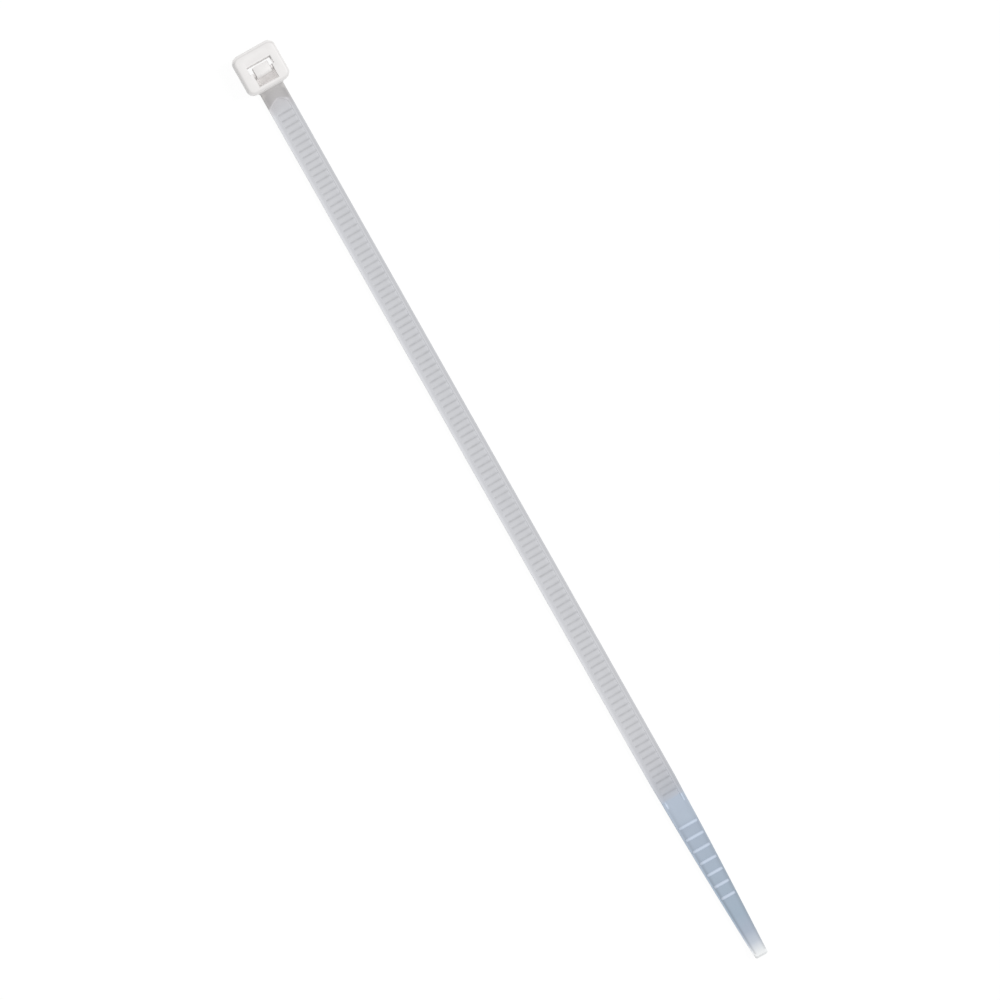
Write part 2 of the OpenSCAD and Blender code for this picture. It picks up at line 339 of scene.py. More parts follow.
def buildTeeth(bm):
    # One pitch of the strap is pulled through these places, then copied along the strap:
    # distance from the tooth's steep face, height of the toothed side, share of the groove's depth
    grooveHalf = track["grooveWidth"] / 2
    crest = teeth["crest"]
    valley = teeth["valley"]
    ease = teeth["ease"]
    stops = [
        (-grooveHalf, teeth["slopeEnd"], 0),
        (-teeth["valleyLength"], valley, 0.73),
        (0, valley - ease, 1),
        (ease, crest + ease, 0.87),
        (0.08, crest, 0.64),
        (0.2, crest, 0.11),
        (0.26, crest + 0.015, 0),
        (teeth["pitch"] - grooveHalf, teeth["slopeEnd"], 0),
    ]
    rowLayer = bm.verts.layers.int.new("row")
    points = []
    for y, z, row in sectionPoints():
        point = bm.verts.new((teethStart - grooveHalf, y, z))
        point[rowLayer] = row
        points.append(point)
    halfRing = [bm.edges.new(pair) for pair in zip(points, points[1:])]
    bmesh.ops.translate(bm, verts=rowVerts(bm, points, [rowTooth]), vec=(0, 0, stops[0][1]))
    bmesh.ops.mirror(bm, geom=points + halfRing, matrix=Matrix.Identity(4),
                     merge_dist=samePlace, axis="Y")

    ring = bm.edges[:]
    for before, after in zip(stops, stops[1:]):
        sink = (before[2] - after[2]) * track["grooveDepth"]
        ring = pullRing(bm, ring, after[0] - before[0],
                        [([rowTooth], after[1] - before[1]), ([rowGroove], sink)])
    onePitch = bm.verts[:] + bm.edges[:] + bm.faces[:]
    for n in range(1, toothCount):
        copied = bmesh.ops.duplicate(bm, geom=onePitch)["geom"]
        verts = [v for v in copied if isinstance(v, bmesh.types.BMVert)]
        bmesh.ops.translate(bm, verts=verts, vec=(n * teeth["pitch"], 0, 0))
    bmesh.ops.remove_doubles(bm, verts=bm.verts, dist=10 * samePlace)
    return teethStart - grooveHalf, teethEnd - grooveHalf


def buildNeck(bm, ring, x):
    # Back from the teeth: the track narrows to its point, and the strap flares into the head
    rise = teeth["slopeEnd"] / (x - trackStart)
    pointEnd = trackStart + track["point"]
    share = 1.0
    steps = track["pointSteps"]
    places = [(x + pointEnd) / 2] + [pointEnd - k / steps * track["point"] for k in range(steps + 1)]
    for to in places:
        ring = pullRing(bm, ring, to - x, [([rowTooth], (to - x) * rise)])
        narrowed = 1.0
        if to < pointEnd:
            narrowed = max(track["pointShare"], ((to - trackStart) / track["point"]) ** track["pointCurve"])
        bmesh.ops.scale(bm, verts=rowVerts(bm, ringVerts(ring), trackRows), vec=(1, narrowed / share, 1))
        share = narrowed
        x = to
    ring = pullRing(bm, ring, -track["rampLength"], [([rowTrack, rowGroove], track["depth"])])
    x -= track["rampLength"]

    radius = strap["neckRadius"]
    bury = strap["bury"]
    spread = 0.0
    for k in range(strap["neckSteps"] + 1):
        turn = math.radians(90) * k / strap["neckSteps"]
        to = headNear - bury + (radius + bury) * (1 - math.sin(turn))
        grown = radius * (1 - math.cos(turn))
        ring = pullRing(bm, ring, to - x, [(outerRows, grown - spread)])
        half = strap["width"] / 2
        bmesh.ops.scale(bm, verts=ringVerts(ring), vec=(1, (half + grown) / (half + spread), 1))
        spread = grown
        x = to
    # Inside the wall its underside lifts off the head's, so that the two never share a plane
    pullRing(bm, ring, -head["nearWall"] / 2, [([rowTooth, rowUnder], head["baseRadius"] / 2)])


def buildTail(bm, ring, x):
    # The last tooth ends, the rails run out, and the plain tail goes on, still straight and wide
    steps = tail["runOutSteps"]
    lift = tailBase / steps
    drop = (strap["thickness"] - tailTop) / steps
    ease = teeth["ease"]
    toValley = teethEnd - teeth["valleyLength"] - x
    ring = pullRing(bm, ring, toValley, [([rowTooth], teeth["valley"] - teeth["slopeEnd"])])
    ring = pullRing(bm, ring, teeth["valleyLength"], [([rowTooth], -ease)])
    ring = pullRing(bm, ring, ease, [([rowTooth], ease - teeth["valley"])])
    for k in range(steps):
        ring = pullRing(bm, ring, tail["runOut"] / steps,
                        [([rowTooth, rowUnder], lift), ([rowTop, rowLip], -drop)])
    x = teethEnd + ease + tail["runOut"]
    for k in range(tail["steps"]):
        ring = pullRing(bm, ring, (bendStart - x) / tail["steps"])
    corner = tail["corner"]
    for k in range(tail["bendSteps"]):
        ring = pullRing(bm, ring, (flatTip - corner - bendStart) / tail["bendSteps"])
    for left, gone in tipRounding:
        ring = pullRing(bm, ring, corner * left)
        bmesh.ops.scale(bm, verts=ringVerts(ring), vec=(1, 1, 1 - gone),
                        space=Matrix.Translation((0, 0, -(tailBase + tailTop) / 2)))


def buildBand():
    bm = bmesh.new()
    neckX, endX = buildTeeth(bm)
    buildNeck(bm, openRing(bm, neckX), neckX)
    buildTail(bm, openRing(bm, endX), endX)
    bmesh.ops.holes_fill(bm, edges=[e for e in bm.edges if e.is_boundary])

    # Shoulder and taper: each row moves in with the tail's width at its place
    half = strap["width"] / 2
    shoulderStart = teethEnd - tail["shoulder"]
    for v in bm.verts:
        if v.co.x > teethEnd:
            v.co.y *= tailHalf(v.co.x) / half
        elif v.co.x > shoulderStart:
            share = (v.co.x - shoulderStart) / tail["shoulder"]
            v.co.y *= 1 - share * (1 - tail["rootWidth"] / strap["width"])
        if v.co.x > flatTip - tail["corner"]:
            away = min(1, 1 - (flatTip - v.co.x) / tail["corner"])
            gone = tail["corner"] * (1 - math.sqrt(1 - away ** 2))
            v.co.y *= 1 - 2 * gone / tail["tipWidth"]

    # The tip turns up on an arc
    for v in bm.verts:
        if v.co.x > bendStart:
            radius = tail["bendRadius"] + tailTop - v.co.z
            turn = (v.co.x - bendStart) / bendOuter
            v.co.x = bendStart + radius * math.sin(turn)
            v.co.z = tailTop + tail["bendRadius"] - radius * math.cos(turn)
    bmesh.ops.recalc_face_normals(bm, faces=bm.faces)
    bm.verts.layers.int.remove(bm.verts.layers.int["row"])
    return newPiece("cableTie", bm)


# Pawl: one outline drawn from the side, pulled to its width

pawl = {
    "width": 3.1,
    "gap": 0.48,               # from the tip to the far wall
    "drop": 0.6,               # tip below the exit face
    "topLength": 2.35,
    "backRound": 1.0,
    "backSegments": 8,
    "teeth": 3,
    "bite": 0.36,
    "swing": math.radians(5.5),
    "hinge": 0.85,
    "ledge": 0.4,              # between the slot and the hinge
    "root": 0.4,               # how deep the foot stands in the floor
    "edge": 0.05,
    "edgeSegments": 2,
    "sharpest": math.radians(25),          # edges that turn more than this are softened
}


def buildPawl():
    tip = Vector((slotFar + pawl["gap"], headTop - pawl["drop"]))
    inward = Vector((math.cos(pawl["swing"]), math.sin(pawl["swing"])))
    down = Vector((math.sin(pawl["swing"]), -math.cos(pawl["swing"])))
    front = slotNear + pawl["ledge"]
    back = front + pawl["hinge"]
    outline = [Vector((front, window["floor"] - pawl["root"])), Vector((front, window["floor"]))]
    for k in range(pawl["teeth"] - 1, 0, -1):
        crest = tip + k * teeth["pitch"] * down
        outline += [crest, crest + pawl["bite"] * inward]
    outline += [tip, tip + pawl["topLength"] * inward]
    outline += [Vector((back, window["floor"])), Vector((back, window["floor"] - pawl["root"]))]

    bm = bmesh.new()
    side = [bm.verts.new((p.x, -pawl["width"] / 2, p.y)) for p in outline]
    pulled = bmesh.ops.extrude_face_region(bm, geom=[bm.faces.new(side)], use_keep_orig=True)
    across = [v for v in pulled["geom"] if isinstance(v, bmesh.types.BMVert)]
    bmesh.ops.translate(bm, verts=across, vec=(0, pawl["width"], 0))
    bmesh.ops.recalc_face_normals(bm, faces=bm.faces)

    backTop = tip + pawl["topLength"] * inward
    corner = [e for e in bm.edges if allAt(e.verts, 0, backTop.x) and allAt(e.verts, 2, backTop.y)]
    softenEdges(bm, corner, pawl["backRound"], pawl["backSegments"])
    sharp = [e for e in bm.edges if e.calc_face_angle(0) > pawl["sharpest"]]
    softenEdges(bm, sharp, pawl["edge"], pawl["edgeSegments"])
    return newPiece("pawl", bm)


# Grip ridges: rounded bars, sunk so that a low arc stands out of the tail

ridges = {
    "count": 7,
    "pitch": 2.48,
    "gap": 5.66,               # from the last tooth to the first ridge
    "width": 0.68,
    "height": 0.2,
    "margin": 0.3,
    "endRound": 0.16,
    "endSegments": 4,
    "segments": 40,
    "sharpest": math.radians(60),
}


def buildRidges():
    radius = ((ridges["width"] / 2) ** 2 + ridges["height"] ** 2) / (2 * ridges["height"])
    lying = Matrix.Rotation(math.radians(90), 4, "X")
    bm = bmesh.new()
    for k in range(ridges["count"]):
        x = teethEnd + ridges["gap"] + k * ridges["pitch"]
        place = Matrix.Translation((x, 0, tailTop + ridges["height"] - radius))
        bmesh.ops.create_cone(bm, cap_ends=True, segments=ridges["segments"], radius1=radius, radius2=radius,
                              depth=2 * (tailHalf(x) - ridges["margin"]), matrix=place @ lying)
    ends = [e for e in bm.edges if e.calc_face_angle(0) > ridges["sharpest"]]
    softenEdges(bm, ends, ridges["endRound"], ridges["endSegments"])
    return newPiece("ridges", bm)


# Joined, cleaned and brought to metres

finish = {
    "weld": 0.0005,            # mm, points that the joins leave side by side
    "sliver": 0.0002,
    "sharpest": math.radians(35),          # edges that turn less than this are shaded smooth
}

print("cable tie: head and pawl")
headPiece = buildHead()
joinOnto(headPiece, buildPawl())
print("cable tie: strap, teeth and tail")
tie = buildBand()
joinOnto(tie, buildRidges())
joinOnto(tie, headPiece)
print("cable tie:", len(tie.data.vertices), "points")

bm = bmesh.new()
bm.from_mesh(tie.data)
bmesh.ops.remove_doubles(bm, verts=bm.verts, dist=finish["weld"])
bmesh.ops.dissolve_degenerate(bm, edges=bm.edges, dist=finish["sliver"])
bmesh.ops.recalc_face_normals(bm, faces=bm.faces)
bmesh.ops.scale(bm, verts=bm.verts, vec=(millimetre, millimetre, millimetre))
bm.to_mesh(tie.data)
bm.free()
tie.data.shade_smooth()
tie.data.set_sharp_from_angle(angle=finish["sharpest"])

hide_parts("cable_tie")
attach(tie, "root")

# Materials, floor, light and camera

look = {
    "ior": 1.53,               # of nylon
    "roughness": 0.42,
    "grainSize": 0.12,         # mm, the fine grain of a spark-eroded mould
    "grainDepth": 0.004,
    "grainStrength": 0.6,
    "mottleSize": 2.2,         # mm, faint clouds in the nylon
    "mottle": 0.015,           # how much lighter and darker they are
    "neckBow": 1.12,           # mm by which the neck's darker tone curves out along the rails
    "neckCurve": 1.33,
    "rungShift": 0.057,        # mm from a groove to where its rung's tones start, toward the tip
    "pitchesAhead": 50,        # whole pitches, which keep their count above 0 all along the tie
    "rungPatch": 0.9,          # patches a millimetre in which the rungs show more or less
    "faintest": 0.45,          # how much of a rung is left where it shows least
    "streak": 1.35,            # brightness
    "glint": 1.15,
    "growFrom": 0.35,          # share of the tail's edge tones by the last tooth
    "growOver": 20,            # mm over which they come to their full strength
    "glow": "#FFFDFD",
    "glowHeights": (2.8, 4.4),             # mm, full below the first and gone above the second
    "wallGlow": 0.07,
}
# The thick head looks nearly white, the strap greyer and the thin tail bluish.
# Colours along X, each a place in mm and the colour there
headColour = "#EFEDEC"
# The neck is darker: partly the head's shadow painted in, partly the solid neck's own greyer nylon
neckColours = [(4.4, "#BFBDBC"), (4.9, "#B8B6B6"), (6.4, "#B8B6B7"), (6.9, "#C3C2C5"), (9.2, "#CACBCF")]
strapColours = [(9.2, "#CACBCF"), (139.0, "#CACBCF"), (146.0, "#C4C5CA"), (151.4, "#B7BAC1"),
                (152.8, "#B5BBC6")]
# Toward the end the tail turns nearly white: painted highlight on the upturned tip, which faces the light
tailColours = [(153.1, "#B1BDCD"), (157.6, "#AFBBCA"), (159.0, "#A8B4C4"), (177.5, "#9FAFBF"),
               (181.0, "#A8B3C3"), (183.2, "#C1C9D4"), (185.4, "#F3F5F6")]
# The sides and the underside change more slowly than the outer face does. They are painted lighter than it,
# light coming through the see-through nylon, and end in the same painted highlight at the tip
sideColours = [(4.4, "#CCCBCB"), (12.0, "#D8D9DC"), (140.0, "#D6D7DB"), (156.0, "#B6C0CC"),
               (177.5, "#A6B3C2"), (181.0, "#A8B3C3"), (183.2, "#C1C9D4"), (185.4, "#F3F5F6")]
ridgeColour = "#A2ACBA"
# Painted light and shade along the see-through edges: share of the half width, from -Y to +Y, brightness
neckAcross = [(-1.04, 1.1), (-0.9, 0.95), (-0.78, 0.86), (-0.6, 0.9), (-0.4, 0.97), (-0.2, 1.0),
              (0.3, 1.0), (0.55, 0.96), (0.7, 0.9), (0.8, 0.84), (0.92, 0.9), (1.04, 1.1)]
strapAcross = [(-1.04, 1.8), (-0.96, 1.27), (-0.88, 1.13), (-0.75, 1.02), (-0.55, 0.985), (0.45, 1.01),
               (0.56, 1.05), (0.62, 1.1), (0.68, 1.12), (0.74, 1.02), (0.8, 0.94), (0.86, 0.88),
               (0.94, 0.86), (1.04, 0.95)]
tailAcross = [(-1.0, 1.75), (-0.93, 1.35), (-0.86, 0.96), (-0.76, 0.77), (-0.66, 0.84), (-0.56, 0.95),
              (-0.45, 1.0), (0.5, 1.0), (0.7, 0.93), (0.8, 0.83), (0.87, 0.78), (0.93, 0.76), (1.0, 0.82)]
# Painted shade of the teeth seen through the strap, one pitch from a rung to the next: share of the pitch,
# brightness
rungTones = [(0.0, 0.83), (0.05, 0.79), (0.1, 0.81), (0.2, 0.92), (0.34, 0.99), (0.52, 1.0), (0.76, 0.99),
             (0.9, 0.93), (1.0, 0.83)]
# Painted highlight on a grip ridge, brighter from its foot to its crown: height in mm, brightness
ridgeTones = [(0.0, 1.0), (0.01, 1.3), (0.1, 1.5), (0.2, 1.6)]
# Painted shade and highlight on the head's rounded rim, from flat top to upright wall: how far the surface
# leans, brightness
rimTones = [(0.0, 1.0), (0.3, 0.94), (0.5, 0.89), (0.7, 0.93), (0.9, 1.05), (1.0, 1.08)]
# The head's side that faces away from the light: the surface's Y direction, brightness
shadeTones = [(-1.0, 0.84), (-0.85, 0.98), (-0.7, 1.06), (-0.3, 1.05), (-0.1, 1.0), (1.0, 1.0)]
# Painted highlight and shade on the far side of its rim: the surface's X direction, brightness
farTones = [(-1.0, 1.04), (-0.6, 1.2), (-0.38, 1.0), (-0.22, 0.89), (-0.08, 0.97), (0.0, 1.0), (1.0, 1.0)]
# Painted glow, standing in for light that comes through the head's thin floor and walls: place along X in mm,
# strength
glowTones = [(-0.75, 0.0), (-0.3, 0.0), (0.2, 0.2), (0.75, 0.22), (0.95, 0.3), (1.35, 0.28), (1.6, 0.1),
             (1.9, 0.14), (2.9, 0.12), (3.44, 0.16)]
# The same across the pocket, from -Y to +Y, which evens out its light
pocketTones = [(-2.0, 0.35), (-1.2, 0.5), (-0.4, 0.9), (0.6, 1.2), (1.3, 1.1), (2.0, 0.9)]

# Where each colour and tone lies: from, to, and how softly it ends, in mm along X or Y
pitchHalf = teeth["pitch"] / 2
reach = {
    "head": (headFar - 1, headNear + 0.1, 0.15),
    "neckBow": (headNear + 0.6, headNear + 6, 1.0),
    "neckColours": (headFar - 1, neckColours[-1][0], 0.05),
    "neck": (headNear + 0.2, trackStart, 0.3),
    "strap": (trackStart, teethEnd, 0.3),
    "tailColours": (teethEnd, tipX + 1, 0.6),
    "tail": (teethEnd, tipX - 0.9, 0.2),
    "rungs": (teethStart - pitchHalf, teethEnd - pitchHalf, 0.1),
    "rungWidth": (-1.43, 1.43, 0.3),
    "ridges": (teethEnd + ridges["gap"] - 1, bendStart - 2, 0.1),
    "streaks": (teethEnd + 0.1, teethEnd + tail["runOut"] + 0.1, 0.3),
    "streakWidth": (0.68, 0.79, 0.05),     # share of the half width, not mm
    "glint": (trackStart - 0.05, trackStart + 0.2, 0.15),
    "glintWidth": (-1.9, 0.25, 0.3),
    "window": (slotFar - 0.3, windowNear + 0.05, 0.02),
    "windowWidth": (-slotHalf - 0.05, slotHalf + 0.05, 0.02),
    "pocket": (1.7, windowNear + 1, 0.1),
    "farWall": (slotFar - 0.08, slotFar + window["draft"] + 0.01, 0.06),
    "sideWall": (-0.1, slotNear, 0.3),
    "sideWallDepth": (slotHalf - 0.05, headHalf, 0.05),
}
# Places in the window that light hardly reaches: the pawl's sides, the gaps beside its back and
# one end of the slot. Each is its reach along X, its reach along Y, and a brightness
dimSpots = [
    ((-0.2, 1.5, 0.4), (-1.62, -1.49, 0.04), 0.66),
    ((-0.2, 1.5, 0.4), (1.49, 1.62, 0.04), 0.66),
    ((1.3, 1.72, 0.4), (-2.05, -1.49, 0.04), 0.7),
    ((1.3, 1.72, 0.4), (1.49, 2.05, 0.04), 0.7),
    ((-0.75, -0.1, 0.4), (2.4, 2.5, 0.04), 0.68),
]


def toLinear(code):
    parts = [int(code[i:i + 2], 16) / 255 for i in (1, 3, 5)]
    return tuple(c / 12.92 if c <= 0.04045 else ((c + 0.055) / 1.055) ** 2.4 for c in parts) + (1,)


def addNode(tree, kind, settings, inputs):
    # An input is another node's output, which is linked, or a plain value, which is set
    node = tree.nodes.new(kind)
    for name, value in settings.items():
        setattr(node, name, value)
    for name, value in inputs.items():
        if isinstance(value, bpy.types.NodeSocket):
            tree.links.new(value, node.inputs[name])
        else:
            node.inputs[name].default_value = value
    return node


def nylonPart(tree, value, where, full=1.0):
    # Full where the value lies in that reach and 0 outside it. Full may be another part's output,
    # so that one part is kept to where the other is
    low, high, soft = where
    centre = addNode(tree, "ShaderNodeMath", {"operation": "SUBTRACT"}, {0: value, 1: (low + high) / 2})
    away = addNode(tree, "ShaderNodeMath", {"operation": "ABSOLUTE"}, {0: centre.outputs[0]})
    half = (high - low) / 2
    part = addNode(tree, "ShaderNodeMapRange", {"interpolation_type": "SMOOTHSTEP"},
                   {"Value": away.outputs[0], "From Min": half - soft / 2, "From Max": half + soft / 2,
                    "To Min": full, "To Max": 0.0})
    return part.outputs[0]


def readStops(tree, value, stops):
    # What a row of (place, colour) stops has at that value
    low, high = stops[0][0], stops[-1][0]
    share = addNode(tree, "ShaderNodeMapRange", {}, {"Value": value, "From Min": low, "From Max": high})
    ramp = addNode(tree, "ShaderNodeValToRGB", {}, {"Fac": share.outputs[0]})
    elements = ramp.color_ramp.elements
    elements.remove(elements[-1])
    for k, (place, colour) in enumerate(stops):
        element = elements[0] if k == 0 else elements.new((place - low) / (high - low))
        element.position = (place - low) / (high - low)
        element.color = colour
    return ramp.outputs[0]


def nylonColour(tree, value, stops):
    return readStops(tree, value, [(place, toLinear(code)) for place, code in stops])


def nylonTone(tree, value, tones):
    # Brightness. A stop holds 0 to 1 only, so it keeps half of it
    halved = readStops(tree, value, [(place, (tone / 2, tone / 2, tone / 2, 1)) for place, tone in tones])
    return addNode(tree, "ShaderNodeMath", {"operation": "MULTIPLY"}, {0: halved, 1: 2.0}).outputs[0]


def naturalNylon():
    # Natural nylon 66, moulded: milky and faintly see-through, so that thick parts look white and
    # thin ones greyer, with the soft sheen and fine grain of a spark-eroded mould
    material = bpy.data.materials.new("natural nylon, injection moulded")
    material.use_nodes = True
    tree = material.node_tree
    tree.nodes.clear()
    place = addNode(tree, "ShaderNodeTexCoord", {}, {}).outputs["Object"]
    inMm = addNode(tree, "ShaderNodeVectorMath", {"operation": "SCALE"},
                   {0: place, "Scale": 1 / millimetre}).outputs[0]
    x, y, z = addNode(tree, "ShaderNodeSeparateXYZ", {}, {0: inMm}).outputs
    facing = addNode(tree, "ShaderNodeNewGeometry", {}, {}).outputs["Normal"]
    facingX, facingY, facingZ = addNode(tree, "ShaderNodeSeparateXYZ", {}, {0: facing}).outputs
    # Faces that look up, even slightly, and faces that look sideways or down
    upward = addNode(tree, "ShaderNodeMapRange", {"interpolation_type": "SMOOTHSTEP"},
                     {"Value": facingZ, "From Min": 0.02, "From Max": 0.3}).outputs[0]
    turnedAway = addNode(tree, "ShaderNodeMapRange", {"interpolation_type": "SMOOTHSTEP"},
                         {"Value": facingZ, "From Min": 0.2, "From Max": 0.7,
                          "To Min": 1.0, "To Max": 0.0}).outputs[0]

    # Where a point lies across the band: -1 and 1 on the edges of the tail, which narrows
    taper = addNode(tree, "ShaderNodeMapRange", {}, {"Value": x, "From Min": teethEnd, "From Max": tipX})
    bent = addNode(tree, "ShaderNodeMath", {"operation": "POWER"},
                   {0: taper.outputs[0], 1: tail["taperPower"]})
    half = addNode(tree, "ShaderNodeMath", {"operation": "MULTIPLY_ADD"},
                   {0: bent.outputs[0], 1: (tail["tipWidth"] - tail["rootWidth"]) / 2,
                    2: tail["rootWidth"] / 2})
    across = addNode(tree, "ShaderNodeMath", {"operation": "DIVIDE"}, {0: y, 1: half.outputs[0]}).outputs[0]
    fromCentre = addNode(tree, "ShaderNodeMath", {"operation": "ABSOLUTE"}, {0: across}).outputs[0]

    # In the neck the edge of the darker tone, partly the head's painted shadow, bows out along the rails, as
    # the track's pointed start does
    curve = addNode(tree, "ShaderNodeMath", {"operation": "POWER"}, {0: fromCentre, 1: look["neckCurve"]})
    bow = nylonPart(tree, x, reach["neckBow"], -look["neckBow"])
    bowed = addNode(tree, "ShaderNodeMath", {"operation": "MULTIPLY_ADD"},
                    {0: curve.outputs[0], 1: bow, 2: x}).outputs[0]

    # The colour: each layer lies over those before it
    rise = addNode(tree, "ShaderNodeMath", {"operation": "SUBTRACT"}, {0: z, 1: tailTop}).outputs[0]
    ridgeRow = nylonPart(tree, x, reach["ridges"])
    onRidge = addNode(tree, "ShaderNodeMapRange", {},
                      {"Value": rise, "From Min": 0.0, "From Max": 0.03, "To Max": ridgeRow}).outputs[0]
    onHead = nylonPart(tree, x, reach["head"])
    layers = [
        (nylonPart(tree, x, reach["neckColours"]), nylonColour(tree, bowed, neckColours)),
        (nylonPart(tree, x, reach["tailColours"]), nylonColour(tree, x, tailColours)),
        (onRidge, toLinear(ridgeColour)),
        (turnedAway, nylonColour(tree, x, sideColours)),
        (onHead, toLinear(headColour)),
    ]
    body = nylonColour(tree, x, strapColours)
    for part, colour in layers:
        body = addNode(tree, "ShaderNodeMix", {"data_type": "RGBA"}, {0: part, 6: body, 7: colour}).outputs[2]

    # The tail's painted edge light and shade grow stronger away from the teeth
    onTail = nylonPart(tree, x, reach["tail"], upward)
    growing = addNode(tree, "ShaderNodeMapRange", {},
                      {"Value": x, "From Min": teethEnd, "From Max": teethEnd + look["growOver"],
                       "To Min": look["growFrom"]})
    tailPart = addNode(tree, "ShaderNodeMath", {"operation": "MULTIPLY"},
                       {0: onTail, 1: growing.outputs[0]}).outputs[0]

    # Rungs: painted shade of the teeth, which show through as faint dark cross lines, some more than others
    firstRung = (teethStart + look["rungShift"]) / teeth["pitch"]
    pitches = addNode(tree, "ShaderNodeMath", {"operation": "MULTIPLY_ADD"},
                      {0: x, 1: 1 / teeth["pitch"], 2: look["pitchesAhead"] - firstRung})
    phase = addNode(tree, "ShaderNodeMath", {"operation": "FRACT"}, {0: pitches.outputs[0]}).outputs[0]
    uneven = addNode(tree, "ShaderNodeTexNoise", {"noise_dimensions": "3D"},
                     {"Vector": inMm, "Scale": look["rungPatch"], "Detail": 2.0})
    rungDepth = addNode(tree, "ShaderNodeMapRange", {},
                        {"Value": uneven.outputs[0], "From Min": 0.3, "From Max": 0.65,
                         "To Min": look["faintest"]})
    onRungs = nylonPart(tree, y, reach["rungWidth"], nylonPart(tree, x, reach["rungs"], upward))
    rungPart = addNode(tree, "ShaderNodeMath", {"operation": "MULTIPLY"},
                       {0: onRungs, 1: rungDepth.outputs[0]}).outputs[0]

    # Streaks of light where the rails run out into the tail, and a glint at the track's point
    streaks = nylonPart(tree, fromCentre, reach["streakWidth"], nylonPart(tree, x, reach["streaks"], upward))
    glint = nylonPart(tree, bowed, reach["glint"], nylonPart(tree, y, reach["glintWidth"], upward))

    # The head's outside, and how far a surface leans: 0 where it is flat, 1 where it is upright
    flat = addNode(tree, "ShaderNodeMath", {"operation": "MULTIPLY"}, {0: facingZ, 1: facingZ})
    lean = addNode(tree, "ShaderNodeMath", {"operation": "SUBTRACT", "use_clamp": True},
                   {0: 1.0, 1: flat.outputs[0]})
    leaning = addNode(tree, "ShaderNodeMath", {"operation": "SQRT"}, {0: lean.outputs[0]}).outputs[0]
    inside = nylonPart(tree, y, reach["windowWidth"], nylonPart(tree, x, reach["window"]))
    outside = addNode(tree, "ShaderNodeMath", {"operation": "SUBTRACT", "use_clamp": True},
                      {0: onHead, 1: inside}).outputs[0]

    # Painted glow, standing in for light that comes through the head: low in the window, less of it in the
    # pocket, and on the slot's far wall and half of one side wall
    fullBelow, goneAbove = look["glowHeights"]
    low = addNode(tree, "ShaderNodeMapRange", {"interpolation_type": "SMOOTHSTEP"},
                  {"Value": z, "From Min": fullBelow, "From Max": goneAbove, "To Min": inside, "To Max": 0.0})
    inPocket = nylonPart(tree, x, reach["pocket"])
    evened = addNode(tree, "ShaderNodeMix", {"data_type": "FLOAT"},
                     {0: inPocket, 2: 1.0, 3: nylonTone(tree, y, pocketTones)})
    through = addNode(tree, "ShaderNodeMath", {"operation": "MULTIPLY"},
                      {0: low.outputs[0], 1: evened.outputs[0]})
    glow = addNode(tree, "ShaderNodeMath", {"operation": "MULTIPLY"},
                   {0: nylonTone(tree, x, glowTones), 1: through.outputs[0]})
    farWall = nylonPart(tree, x, reach["farWall"], inside)
    sideWall = nylonPart(tree, y, reach["sideWallDepth"], nylonPart(tree, x, reach["sideWall"], inside))
    eitherWall = addNode(tree, "ShaderNodeMath", {"operation": "MAXIMUM"}, {0: farWall, 1: sideWall})
    allGlow = addNode(tree, "ShaderNodeMath", {"operation": "MULTIPLY_ADD"},
                      {0: eitherWall.outputs[0], 1: look["wallGlow"], 2: glow.outputs[0]})
    lit = addNode(tree, "ShaderNodeVectorMath", {"operation": "SCALE"},
                  {0: toLinear(look["glow"])[:3], "Scale": allGlow.outputs[0]})

    mottle = addNode(tree, "ShaderNodeTexNoise", {"noise_dimensions": "3D"},
                     {"Vector": inMm, "Scale": 1 / look["mottleSize"], "Detail": 3.0})
    cloudy = addNode(tree, "ShaderNodeMapRange", {},
                     {"Value": mottle.outputs[0], "From Min": 0.3, "From Max": 0.7,
                      "To Min": 1 - look["mottle"], "To Max": 1 + look["mottle"]})

    # The brightness: the nylon's faint clouds, then painted light and shade; each tone works in its own part
    # only
    tones = [
        (nylonPart(tree, bowed, reach["neck"], upward), nylonTone(tree, across, neckAcross)),
        (nylonPart(tree, bowed, reach["strap"], upward), nylonTone(tree, across, strapAcross)),
        (tailPart, nylonTone(tree, across, tailAcross)),
        (rungPart, nylonTone(tree, phase, rungTones)),
        (ridgeRow, nylonTone(tree, rise, ridgeTones)),
        (streaks, look["streak"]),
        (glint, look["glint"]),
        (outside, nylonTone(tree, leaning, rimTones)),
        (outside, nylonTone(tree, facingY, shadeTones)),
        (outside, nylonTone(tree, facingX, farTones)),
    ]
    for along, over, brightness in dimSpots:
        tones.append((nylonPart(tree, y, over, nylonPart(tree, x, along, inside)), brightness))
    tone = cloudy.outputs[0]
    for part, brightness in tones:
        share = addNode(tree, "ShaderNodeMix", {"data_type": "FLOAT"}, {0: part, 2: 1.0, 3: brightness})
        tone = addNode(tree, "ShaderNodeMath", {"operation": "MULTIPLY"},
                       {0: tone, 1: share.outputs[0]}).outputs[0]
    tinted = addNode(tree, "ShaderNodeVectorMath", {"operation": "SCALE"}, {0: body, "Scale": tone})

    grain = addNode(tree, "ShaderNodeTexNoise", {"noise_dimensions": "3D"},
                    {"Vector": inMm, "Scale": 1 / look["grainSize"], "Detail": 2.0})
    bump = addNode(tree, "ShaderNodeBump", {},
                   {"Height": grain.outputs[0], "Strength": look["grainStrength"],
                    "Distance": look["grainDepth"] * millimetre})
    surface = addNode(tree, "ShaderNodeBsdfPrincipled", {},
                      {"Base Color": tinted.outputs[0], "Roughness": look["roughness"], "IOR": look["ior"],
                       "Normal": bump.outputs[0], "Emission Color": lit.outputs[0], "Emission Strength": 1.0})
    addNode(tree, "ShaderNodeOutputMaterial", {}, {"Surface": surface.outputs[0]})
    return material


tie.data.materials.clear()
tie.data.materials.append(naturalNylon())

